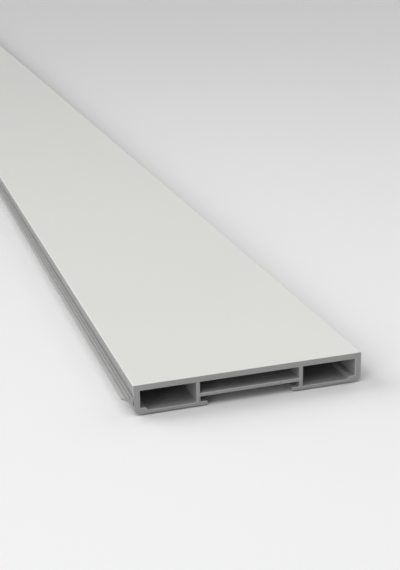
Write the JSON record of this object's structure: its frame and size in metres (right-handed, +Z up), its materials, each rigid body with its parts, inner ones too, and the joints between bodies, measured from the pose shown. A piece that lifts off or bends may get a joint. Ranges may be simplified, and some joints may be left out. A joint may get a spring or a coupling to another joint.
{
  "type": "skirting board",
  "caption": "Hollow rigid PVC skirting board with a flat face, inner webs, an undercut clip channel along its back and a soft sealing lip on one long edge.",
  "frame": {"origin": "on the back plane that lies on the floor, in the middle of the clip channel's mouth and of the length", "axes": "+X across the width away from the sealing lip, +Y along the length, +Z up through the face"},
  "size_m": [0.1052, 2, 0.013],
  "materials": {
    "board": "satin off-white film on the face, plain grey rigid PVC elsewhere",
    "lip": "soft grey PVC, slightly translucent"
  },
  "bodies": {
    "root": {"board": "board", "sealing_lip": "lip"}
  },
  "joints": []
}
